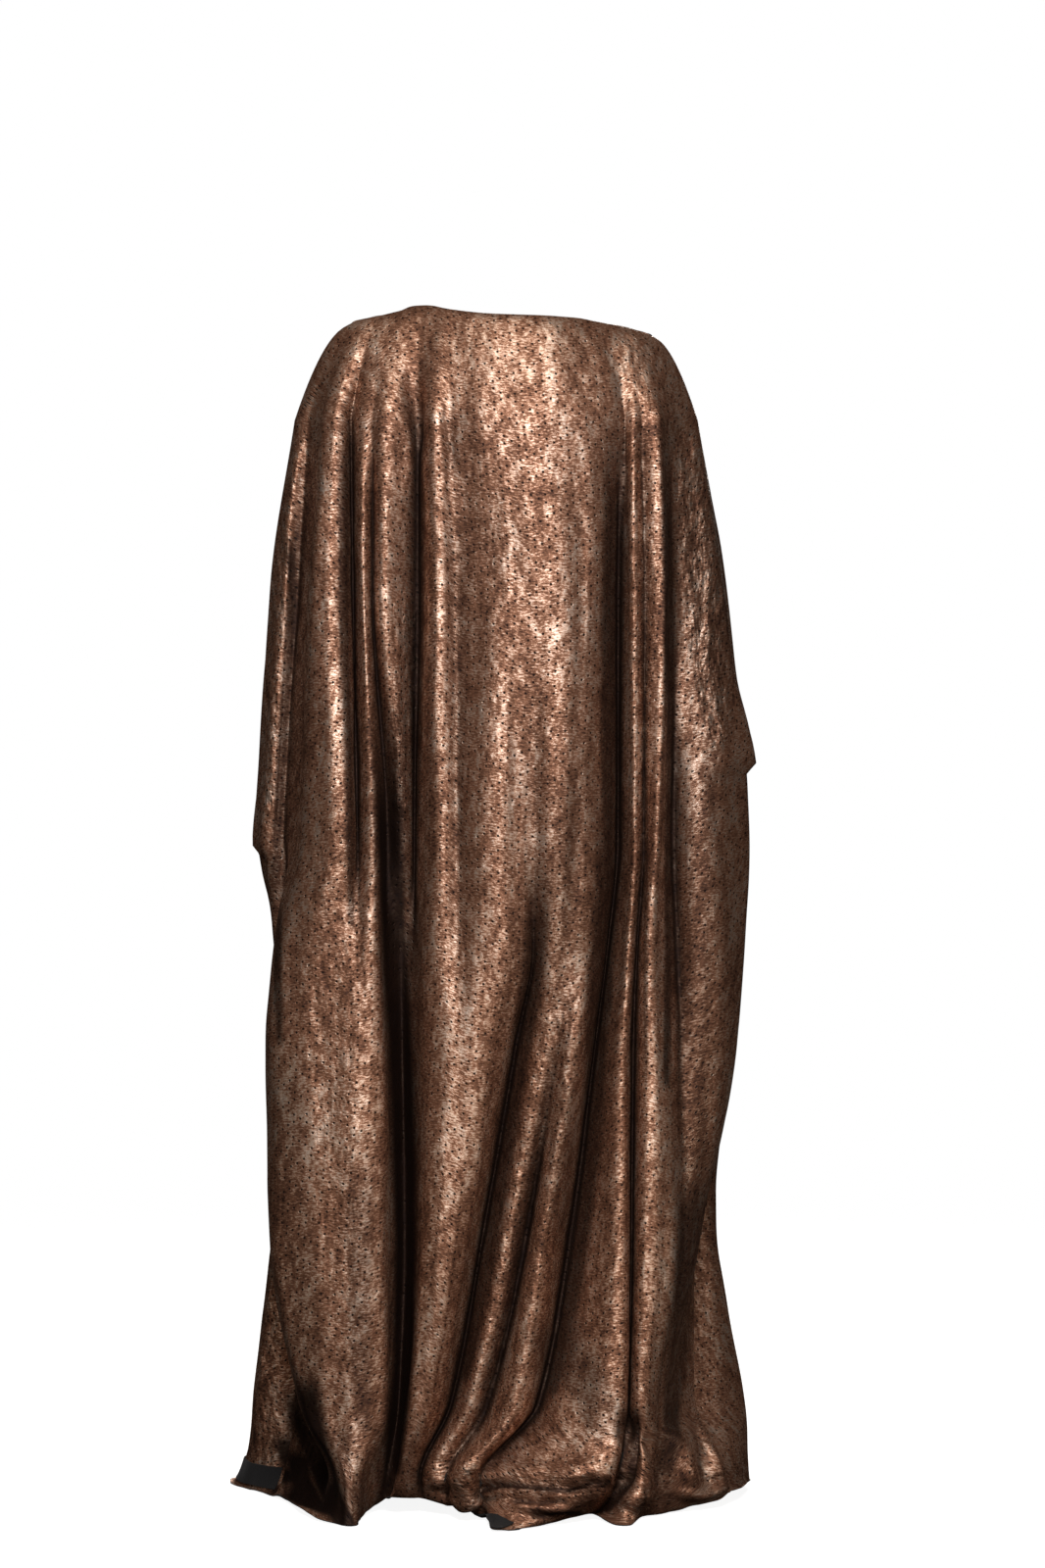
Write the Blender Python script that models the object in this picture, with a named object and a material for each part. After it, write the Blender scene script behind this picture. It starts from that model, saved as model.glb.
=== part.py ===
"""Floor-length kaftan of foil-printed knit, standing as it is worn, as hollow cloth walls.

Row frame, in metres: +Z up, the back of the garment faces -Y, the front faces +Y, and its left sleeve
is at -X. The origin is the point midway between the shoulders, from which the garment hangs.
Sizes in the tables are millimetres, and heights in them are above the floor.
"""
import math

import bmesh
import bpy
from mathutils import Vector

# Driving dimensions
MM = 0.001
SHOULDER_HEIGHT = 1420.0      # height of the origin above the floor
WALL = 1.4                    # thickness of the cloth wall
SEAM_GAP = 0.4                # clear space between two pieces at a seam
FLOOR_CLEAR = 1.9             # height of the cloth's outer face where it lies on the floor
CHEST_HEIGHT = 1300.0         # first level section under the shoulders
SHOULDER_ROUND = 0.58         # how fast the cloth turns down over the shoulder
SKIRT_END = 45.0              # height where the skirt starts to run out on the floor
FLOOR_ROUND = 2.2             # how softly the skirt meets the floor
NECK = (-107.0, 122.0)        # where the shoulder seams end at the neckline, across

LEFT_CUFF = (790.0, 590.0)    # top and bottom of the left arm opening, in the side seam
RIGHT_CUFF = (884.0, 684.0)   # the same at the right
CUFF_SPREAD = 46.0            # how far the front edge of an arm opening stands from the back edge
CUFF_SHARE = (1.0, 0.9, 0.65, 0.25)   # share of that spread at the edge and at the folds beside it
CUFF_ROUND = 0.8              # how full the arm openings are towards their ends
LEFT_CORNER = 8.0             # how far the left sleeve corner stands out
RIGHT_CORNER = 18.0           # the same at the right, a pointed tip
CORNER_REACH = 110.0          # height over which a sleeve corner grows out
CORNER_SHARE = (1.0, 0.6, 0.25)      # share of a corner at the edge and at the folds beside it

# Heights of the level sections, from the chest down to where the skirt meets the floor
LEVELS = (1300, 1235, 1170, 1100, 1030, 960, 888, 876, 794, 782, 735, 690, 640, 590, 530,
          470, 410, 350, 295, 240, 190, 145, 105, 72, 45)
TOP_STEPS = (0.0, 0.03, 0.1, 0.22, 0.42, 0.68)
FLOOR_STEPS = (0.3, 0.62, 1.0)
CLOSE_FOLDS = 19.0            # folds that stay closer than this have two columns of cloth between them
CLOSE_STATIONS = 6            # stations that count for it

# Named heights of the columns of the fold tables
STATIONS = (1300.0, 1100.0, 800.0, 680.0, 560.0, 330.0, 130.0, 45.0, 0.0)

# Back panel, a row for each fold from the left side seam to the right one.
# name, top edge (across, depth, height), then across and depth at each station, hem lift
BACK = (
    ("left seam", (-182, 0, 1412),
     (-246, -276, -290, -268, -262, -258, -248, -258, -277),
     (5, 10, 15, 34, 52, 58, 50, 42, 35), 0),
    ("left sleeve", (-177, -6, 1416),
     (-238, -256, -272, -268, -266, -260, -244, -246, -250),
     (-18, -24, -16, 2, 24, 32, 25, 12, -28), 0),
    ("left groove", (-174, -8, 1418),
     (-226, -240, -256, -256, -255, -247, -222, -206, -233),
     (-26, -22, -14, -2, 2, 8, 2, -34, -92), 0),
    ("left roll edge", (-166, -9, 1420),
     (-214, -228, -243, -268, -279, -274, -238, -196, -209),
     (-46, -52, -46, -50, -50, -56, -80, -128, -136), 0),
    ("left roll", (-156, -10, 1422),
     (-203, -213, -220, -240, -247, -243, -218, -183, -190),
     (-68, -84, -92, -92, -97, -101, -112, -148, -152), 0),
    ("left roll crest", (-148, -10, 1424),
     (-187, -188, -184, -200, -200, -198, -192, -176, -177),
     (-72, -86, -106, -108, -112, -119, -122, -153, -162), 0),
    ("left hollow", (-140, -10, 1425),
     (-176, -174, -168, -166, -163, -164, -163, -168, -170),
     (-58, -54, -84, -111, -120, -123, -128, -150, -161), 0),
    ("left pleat", (-130, -10, 1427),
     (-161, -160, -150, -150, -145, -143, -139, -158, -165),
     (-80, -93, -104, -113, -117, -117, -120, -128, -138), 0),
    ("left valley side", (-117, -10, 1431),
     (-149, -150, -133, -134, -130, -129, -130, -147, -158),
     (-78, -74, -70, -74, -78, -80, -86, -98, -98), 4),
    ("left valley rib", (-107, -12, 1435),
     (-135, -136, -115, -117, -116, -113, -120, -134, -147),
     (-92, -94, -80, -62, -55, -55, -66, -80, -70), 8),
    ("left valley", (-93, -18, 1436),
     (-96, -97, -101, -101, -103, -102, -111, -124, -136),
     (-76, -64, -60, -68, -72, -76, -88, -86, -72), 16),
    ("blade pleat", (-80, -26, 1435),
     (-77, -72, -71, -72, -72, -80, -99, -118, -126),
     (-103, -109, -119, -124, -127, -130, -128, -114, -92), 20),
    ("blade hollow", (-64, -35, 1431),
     (-58, -52, -50, -50, -48, -62, -88, -111, -112),
     (-101, -102, -116, -123, -133, -134, -128, -108, -90), 19),
    ("back", (-26, -51, 1425),
     (-14, 2, -10, -8, -18, -44, -77, -104, -101),
     (-116, -124, -139, -140, -136, -126, -116, -101, -86), 18),
    ("back edge", (-2, -57, 1423),
     (10, 20, 22, 26, 4, -32, -67, -99, -96),
     (-118, -126, -134, -131, -119, -104, -98, -97, -85), 18),
    ("seat valley", (20, -60, 1422),
     (30, 38, 40, 40, 20, -20, -58, -94, -91),
     (-119, -128, -130, -112, -84, -71, -75, -92, -83), 17),
    ("seat pleat", (56, -56, 1421),
     (68, 72, 66, 62, 50, 10, -36, -80, -79),
     (-117, -128, -138, -128, -118, -108, -112, -108, -88), 16),
    ("calf hollow", (76, -50, 1420),
     (90, 95, 88, 80, 66, 31, -16, -62, -60),
     (-112, -120, -130, -126, -120, -88, -94, -106, -88), 15),
    ("calf pleat", (94, -42, 1419),
     (117, 116, 114, 103, 87, 50, 16, -44, -40),
     (-103, -109, -115, -118, -130, -122, -136, -138, -92), 12),
    ("right valley", (114, -30, 1416),
     (142, 140, 140, 129, 114, 84, 45, -24, -12),
     (-86, -70, -61, -58, -56, -56, -78, -120, -122), 6),
    ("right valley side", (122, -24, 1415),
     (148, 149, 149, 143, 130, 112, 84, 41, 2),
     (-80, -80, -76, -82, -84, -92, -124, -152, -196), 0),
    ("right rib", (129, -18, 1414),
     (157, 159, 160, 153, 145, 142, 138, 104, 64),
     (-90, -98, -97, -98, -104, -118, -142, -162, -140), 0),
    ("right hollow", (139, -12, 1413),
     (167, 171, 170, 163, 158, 156, 151, 136, 106),
     (-82, -87, -84, -79, -81, -90, -112, -122, -112), 5),
    ("right pleat", (150, -10, 1411),
     (186, 191, 184, 177, 176, 174, 164, 161, 145),
     (-87, -96, -105, -108, -112, -123, -131, -140, -160), 0),
    ("right pleat side", (157, -10, 1409),
     (197, 200, 195, 194, 194, 200, 179, 174, 168),
     (-68, -75, -83, -88, -102, -110, -119, -130, -112), 0),
    ("right groove", (164, -9, 1407),
     (206, 208, 206, 210, 214, 218, 188, 191, 197),
     (-50, -56, -62, -64, -70, -84, -98, -104, -82), 0),
    ("right roll", (172, -8, 1405),
     (222, 236, 234, 238, 243, 232, 197, 212, 222),
     (-30, -40, -78, -79, -72, -62, -81, -90, -68), 4),
    ("right roll edge", (179, -6, 1402),
     (231, 259, 290, 287, 281, 241, 206, 240, 256),
     (-19, -28, -32, -30, -28, -30, -58, -70, -54), 9),
    ("right seam", (183, 0, 1399),
     (237, 270, 290, 276, 264, 236, 234, 270, 278),
     (5, 10, 18, 34, 50, 46, 6, -36, -26), 17),
)

# Front panel, a row for each fold from the right side seam round to the left one.
FRONT = (
    ("right seam", (183, 0, 1399),
     (237, 270, 290, 276, 264, 236, 234, 270, 278),
     (5, 10, 18, 34, 50, 46, 6, -36, -26), 17),
    ("right flare", (180, 7, 1402),
     (232, 267, 294, 285, 280, 261, 284, 291, 294),
     (22, 34, 44, 59, 74, 68, 52, 10, 18), 15),
    ("right front groove", (168, 9, 1406),
     (207, 236, 262, 259, 256, 250, 278, 286, 294),
     (48, 52, 62, 75, 88, 96, 118, 128, 140), 5),
    ("right front roll", (150, 10, 1411),
     (184, 205, 222, 224, 226, 228, 244, 250, 262),
     (72, 98, 118, 123, 128, 138, 156, 168, 186), 0),
    ("right front hollow", (136, 12, 1414),
     (158, 168, 176, 177, 178, 182, 192, 196, 204),
     (76, 88, 104, 110, 116, 128, 142, 156, 172), 0),
    ("right bust", (112, 26, 1410),
     (116, 122, 128, 130, 132, 136, 140, 142, 148),
     (98, 140, 158, 162, 166, 172, 180, 190, 214), 0),
    ("right front valley", (84, 52, 1388),
     (86, 84, 84, 85, 86, 88, 90, 92, 94),
     (100, 126, 134, 135, 136, 138, 146, 158, 176), 0),
    ("right breast pleat", (52, 74, 1366),
     (52, 46, 44, 44, 44, 46, 48, 50, 52),
     (110, 144, 160, 165, 170, 178, 190, 200, 222), 0),
    ("front valley", (14, 84, 1356),
     (14, 8, 4, 3, 2, 0, -2, -2, -4),
     (112, 134, 142, 144, 146, 148, 156, 168, 188), 0),
    ("left breast pleat", (-24, 76, 1362),
     (-26, -36, -42, -44, -46, -50, -54, -56, -60),
     (110, 146, 164, 169, 174, 182, 194, 204, 226), 0),
    ("left front valley", (-58, 54, 1386),
     (-66, -78, -84, -87, -90, -96, -102, -104, -108),
     (100, 128, 136, 137, 138, 140, 146, 156, 174), 0),
    ("left bust", (-92, 26, 1418),
     (-104, -116, -126, -130, -134, -142, -150, -154, -160),
     (96, 138, 156, 160, 164, 172, 182, 192, 214), 0),
    ("left front hollow", (-126, 12, 1429),
     (-156, -164, -172, -176, -180, -190, -198, -204, -212),
     (74, 90, 106, 111, 116, 126, 138, 148, 168), 0),
    ("left front roll", (-150, 10, 1423),
     (-186, -204, -222, -227, -232, -242, -252, -258, -270),
     (72, 98, 120, 126, 132, 146, 160, 170, 190), 0),
    ("left front groove", (-168, 9, 1419),
     (-212, -240, -260, -261, -262, -270, -285, -296, -318),
     (48, 58, 70, 83, 96, 112, 128, 138, 166), 0),
    ("left flare", (-177, 7, 1415),
     (-242, -273, -290, -276, -268, -276, -299, -307, -333),
     (22, 32, 40, 59, 78, 82, 84, 94, 130), 0),
    ("left skirt", (-180, 4, 1414),
     (-244, -274, -291, -272, -264, -268, -282, -287, -310),
     (12, 20, 26, 44, 62, 64, 61, 62, 84), 0),
    ("left seam", (-182, 0, 1412),
     (-246, -276, -290, -268, -262, -258, -248, -258, -277),
     (5, 10, 15, 34, 52, 58, 50, 42, 35), 0),
)

# Pieces of hem turned to the outside, which lie on a panel's face where it runs out on the floor.
# name, panel, first and last fold it lies between, columns of cloth it stays short of them,
# and its own sections, counted along the panel's last four (0 is the skirt's end, 3 is the hem)
HEM_TURNS = (
    ("left_hem_turn", "front_panel", "left front groove", "left seam", 1, (0.45, 1.0, 2.0)),
    ("back_hem_turn", "back_panel", "calf pleat", "right valley side", 0, (2.35, 2.97)),
)
TURN_LIFT = 0.8               # clear space under a turned piece of hem
TURN_WALL = 1.4               # its thickness

BRONZE = (0.23, 0.135, 0.085, 1.0)
BLACK = (0.012, 0.012, 0.013, 1.0)


def clear_scene():
    for thing in list(bpy.data.objects):
        bpy.data.objects.remove(thing, do_unlink=True)


def mix(a, b, share):
    return a + (b - a) * share


def ease(share):
    share = min(1.0, max(0.0, share))
    return share * share * (3.0 - 2.0 * share)


def along(places, values, place):
    """Value at a place on a smooth line through values, which never overshoots them."""
    if place >= places[0]:
        return values[0]
    if place <= places[-1]:
        return values[-1]
    slopes = [(values[i + 1] - values[i]) / (places[i + 1] - places[i]) for i in range(len(values) - 1)]
    lean = [slopes[0]]
    for before, after in zip(slopes, slopes[1:]):
        lean.append(0.0 if before * after <= 0 else 2.0 * before * after / (before + after))
    lean.append(slopes[-1])
    i = next(k for k in range(len(values) - 1) if place >= places[k + 1])
    width = places[i + 1] - places[i]
    t = (place - places[i]) / width
    return ((2 * t ** 3 - 3 * t ** 2 + 1) * values[i] + (t ** 3 - 2 * t ** 2 + t) * width * lean[i]
            + (-2 * t ** 3 + 3 * t ** 2) * values[i + 1] + (t ** 3 - t ** 2) * width * lean[i + 1])


def through(points, steps):
    """Smooth curve through the points, with its own number of steps to the next point for each."""
    knots = [0.0]
    for a, b in zip(points, points[1:]):
        knots.append(knots[-1] + max(1e-4, (b - a).length) ** 0.5)
    leans = []
    for i, here in enumerate(points):
        if i == 0:
            leans.append((points[1] - here) / (knots[1] - knots[0]))
        elif i == len(points) - 1:
            leans.append((here - points[-2]) / (knots[-1] - knots[-2]))
        else:
            before = (here - points[i - 1]) / (knots[i] - knots[i - 1])
            after = (points[i + 1] - here) / (knots[i + 1] - knots[i])
            share = (knots[i] - knots[i - 1]) / (knots[i + 1] - knots[i - 1])
            leans.append(before * (1.0 - share) + after * share)
    curve = [points[0]]
    for i, count in enumerate(steps):
        width = knots[i + 1] - knots[i]
        for k in range(1, count + 1):
            t = k / count
            curve.append(points[i] * (2 * t ** 3 - 3 * t ** 2 + 1)
                         + leans[i] * ((t ** 3 - 2 * t ** 2 + t) * width)
                         + points[i + 1] * (-2 * t ** 3 + 3 * t ** 2)
                         + leans[i + 1] * ((t ** 3 - t ** 2) * width))
    return curve


def corner(height, top, size):
    """How far a sleeve corner stands out at a height: it grows down to the cuff and stops there."""
    if height < top:
        return 0.0
    return size * (1.0 - ease((height - top) / CORNER_REACH))


def cuff_gape(height, cuff):
    """Share of the full spread of an arm opening at a height."""
    top, bottom = cuff
    if not bottom < height < top:
        return 0.0
    return math.sin(math.pi * (top - height) / (top - bottom)) ** CUFF_ROUND


def fold_place(folds, i, height, front):
    """Across and depth of a fold at a height, with the sleeve corners and the arm openings."""
    across = along(STATIONS, folds[i][2], height)
    depth = along(STATIONS, folds[i][3], height)
    order = min(i, len(folds) - 1 - i)
    side = 1.0 if folds[i][1][0] > 0 else -1.0
    cuff = LEFT_CUFF if side < 0 else RIGHT_CUFF
    if order < len(CORNER_SHARE):
        stand = LEFT_CORNER if side < 0 else RIGHT_CORNER
        across += side * CORNER_SHARE[order] * corner(height, cuff[0], stand)
    if order == 0:
        depth += 0.5 * SEAM_GAP * (1.0 if front else -1.0)
    if front and order < len(CUFF_SHARE):
        depth += CUFF_SPREAD * CUFF_SHARE[order] * cuff_gape(height, cuff)
    return across, depth


def floor_row(folds, step, front):
    """Control points of a section that runs out on the floor, from the skirt's end to the hem."""
    row = []
    for i, fold in enumerate(folds):
        start = fold_place(folds, i, SKIRT_END, front)
        end = fold_place(folds, i, 0.0, front)
        rest = FLOOR_CLEAR + fold[4]
        height = rest + (SKIRT_END - rest) * (1.0 - step) ** FLOOR_ROUND
        row.append(Vector((mix(start[0], end[0], step), mix(start[1], end[1], step), height)))
    return row


def sections(folds, front):
    """Rows of control points, from the top edge down to the hem."""
    toward = 0.5 * SEAM_GAP * (1.0 if front else -1.0)
    rows = []
    for step in TOP_STEPS:
        row = []
        for i, fold in enumerate(folds):
            across, depth = fold_place(folds, i, CHEST_HEIGHT, front)
            turn = step ** SHOULDER_ROUND
            row.append(Vector((mix(fold[1][0], across, turn), mix(fold[1][1] + toward, depth, turn),
                               mix(fold[1][2], CHEST_HEIGHT, step))))
        rows.append(row)
    for height in LEVELS:
        rows.append([Vector((*fold_place(folds, i, height, front), height)) for i in range(len(folds))])
    for step in FLOOR_STEPS:
        rows.append(floor_row(folds, step, front))
    return rows


def span_steps(folds):
    """Columns of cloth between neighbouring folds: three, or two where they stand close."""
    steps = []
    for left, right in zip(folds, folds[1:]):
        wide = max(abs(a - b) for a, b in zip(left[2][:CLOSE_STATIONS], right[2][:CLOSE_STATIONS]))
        steps.append(3 if wide > CLOSE_FOLDS else 2)
    return steps


def to_row_frame(point):
    return Vector((point.x * MM, point.y * MM, (point.z - SHOULDER_HEIGHT) * MM))


def cloth_points(folds, front):
    steps = span_steps(folds)
    return [[to_row_frame(p) for p in through(row, steps)] for row in sections(folds, front)]


def normals(grid, before, after):
    """Outward direction at each point; at a side seam the next panel's cloth counts as a neighbour."""
    out = []
    for r, row in enumerate(grid):
        line = []
        for c, here in enumerate(row):
            left = row[c - 1] if c > 0 else before[r]
            right = row[c + 1] if c < len(row) - 1 else after[r]
            down = grid[min(r + 1, len(grid) - 1)][c] - grid[max(r - 1, 0)][c]
            facing = (right - left).cross(-down)
            if r == 0 and not NECK[0] * MM < here.x < NECK[1] * MM:
                facing.y = 0.0
            line.append(facing.normalized())
        out.append(line)
    return out


def cloth_wall(name, grid, facing, colour, thickness, group):
    """Closed wall of even thickness inside a grid of points of its outer face."""
    mesh = bmesh.new()
    outer = [[mesh.verts.new(p) for p in row] for row in grid]
    inner = [[mesh.verts.new(p - n * thickness) for p, n in zip(row, line)]
             for row, line in zip(grid, facing)]
    last_row, last_column = len(grid) - 1, len(grid[0]) - 1
    for r in range(last_row):
        for c in range(last_column):
            mesh.faces.new((outer[r][c], outer[r + 1][c], outer[r + 1][c + 1], outer[r][c + 1]))
            mesh.faces.new((inner[r][c], inner[r][c + 1], inner[r + 1][c + 1], inner[r + 1][c]))
    for c in range(last_column):
        mesh.faces.new((outer[0][c], outer[0][c + 1], inner[0][c + 1], inner[0][c]))
        mesh.faces.new((outer[last_row][c + 1], outer[last_row][c],
                        inner[last_row][c], inner[last_row][c + 1]))
    for r in range(last_row):
        mesh.faces.new((outer[r + 1][0], outer[r][0], inner[r][0], inner[r + 1][0]))
        mesh.faces.new((outer[r][last_column], outer[r + 1][last_column],
                        inner[r + 1][last_column], inner[r][last_column]))
    bmesh.ops.triangulate(mesh, faces=mesh.faces[:])
    data = bpy.data.meshes.new(name)
    mesh.to_mesh(data)
    mesh.free()
    part = bpy.data.objects.new(name, data)
    material = bpy.data.materials.new(f"{name}_cloth")
    material.use_nodes = True
    shader = material.node_tree.nodes["Principled BSDF"]
    shader.inputs["Base Color"].default_value = colour
    shader.inputs["Roughness"].default_value = 0.5
    data.materials.append(material)
    group.objects.link(part)


def hem_turn(name, folds, first, last, short, places, grid, facing, group):
    """Piece of hem turned out, on the facets of its panel between two of its folds."""
    counts = span_steps(folds)
    names = [fold[0] for fold in folds]
    begin = sum(counts[:names.index(first)]) + short
    end = sum(counts[:names.index(last)]) - short
    start = len(grid) - 1 - len(FLOOR_STEPS)
    points, directions = [], []
    for spot in places:
        r = start + min(int(spot), len(FLOOR_STEPS) - 1)
        share = spot - (r - start)
        line = [(facing[r][c] * (1.0 - share) + facing[r + 1][c] * share).normalized()
                for c in range(begin, end + 1)]
        row = [grid[r][c].lerp(grid[r + 1][c], share) for c in range(begin, end + 1)]
        points.append([p + n * (TURN_LIFT + TURN_WALL) * MM for p, n in zip(row, line)])
        directions.append(line)
    cloth_wall(name, points, directions, BLACK, TURN_WALL * MM, group)


def main():
    clear_scene()
    group = bpy.data.collections.new("kaftan")
    bpy.context.scene.collection.children.link(group)
    back = cloth_points(BACK, front=False)
    front = cloth_points(FRONT, front=True)
    back_facing = normals(back, [row[-2] for row in front], [row[1] for row in front])
    front_facing = normals(front, [row[-2] for row in back], [row[1] for row in back])
    cloth_wall("back_panel", back, back_facing, BRONZE, WALL * MM, group)
    cloth_wall("front_panel", front, front_facing, BRONZE, WALL * MM, group)
    for name, panel, first, last, short, places in HEM_TURNS:
        if panel == "back_panel":
            hem_turn(name, BACK, first, last, short, places, back, back_facing, group)
        else:
            hem_turn(name, FRONT, first, last, short, places, front, front_facing, group)


main()
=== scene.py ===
import math

import bmesh
import bpy
import numpy as np
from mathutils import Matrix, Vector, noise


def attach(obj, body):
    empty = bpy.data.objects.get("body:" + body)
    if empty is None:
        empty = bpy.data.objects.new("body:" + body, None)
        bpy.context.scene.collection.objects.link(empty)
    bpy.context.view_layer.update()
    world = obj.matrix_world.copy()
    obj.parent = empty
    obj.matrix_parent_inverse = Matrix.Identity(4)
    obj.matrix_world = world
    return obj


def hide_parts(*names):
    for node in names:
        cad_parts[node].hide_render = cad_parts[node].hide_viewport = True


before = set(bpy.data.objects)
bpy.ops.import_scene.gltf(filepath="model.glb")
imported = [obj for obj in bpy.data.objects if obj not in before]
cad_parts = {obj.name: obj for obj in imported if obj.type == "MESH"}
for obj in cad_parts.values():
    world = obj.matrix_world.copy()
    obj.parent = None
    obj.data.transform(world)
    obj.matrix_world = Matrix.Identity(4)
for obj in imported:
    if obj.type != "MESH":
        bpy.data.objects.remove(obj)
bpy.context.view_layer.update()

MM = 0.001
SHOULDER_HEIGHT = 1420.0      # height of the origin above the floor
KNIT = 1.1                    # thickness of the knit
FLOOR_CLEAR = 1.9             # height of the cloth's outer face where it lies on the floor
CHEST_HEIGHT = 1300.0         # height where the shoulders' round ends
SHOULDER_ROUND = 0.58         # power of the curve over the shoulders
SKIRT_END = 45.0              # height where the skirt starts to run out on the floor
FLOOR_ROUND = 2.2             # power of the curve out onto the floor
FOLD_ROUND = 0.75             # how full the folds are
FOLD_TURN = 1.6               # how soon a bend counts as a whole fold
STEEP_SHARE = 0.4             # how much a fold's steeper side still counts in the lean of its crest
VALLEY_TIGHT = 0.35           # how tight the valleys between the folds are
VALLEY_TURNS = (0.35, 0.85)   # bends where a valley starts to tighten, and where it is tightest
FAINT = 0.12                  # how much of the folds shows above where they start
NECK = (-107.0, 122.0)        # outside these the top edge lies on the shoulders

LEFT_CUFF = (790.0, 590.0)    # top and bottom of the left arm opening, in the side seam
RIGHT_CUFF = (884.0, 684.0)
CUFF_SPREAD = 46.0            # how far the front edge of an arm opening stands away
CUFF_ROUND = 0.8              # below 1 it is fuller than a plain arc
CUFF_SHARE = (1.0, 0.9, 0.65, 0.25)     # for the seam and the folds next to it
LEFT_CORNER = 8.0             # how far the sleeve corners stand out above the openings
RIGHT_CORNER = 18.0
CORNER_REACH = 110.0          # over what height they grow
CORNER_SHARE = (1.0, 0.6, 0.25)         # for the seam and the folds next to it

# Rows of cloth: on the shoulder, down the skirt, and out over the floor
SHOULDER_ROWS = 16
ROW_CROWDING = 1.7            # the first of them lie closer together
UPPER_ROW = 12.5              # spacing from the chest down to the knee
LOWER_ROW = 6.5               # spacing below the knee, where the creases are smaller
KNEE_HEIGHT = 330.0
FLOOR_ROWS = 24
BACK_COLUMN = 5.0             # spacing of the points across
FRONT_COLUMN = 6.0
FEWEST_COLUMNS = 4            # between two folds

# Heights for which the tables give each fold's place
STATIONS = (1300.0, 1100.0, 800.0, 680.0, 560.0, 330.0, 130.0, 45.0, 0.0)

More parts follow.
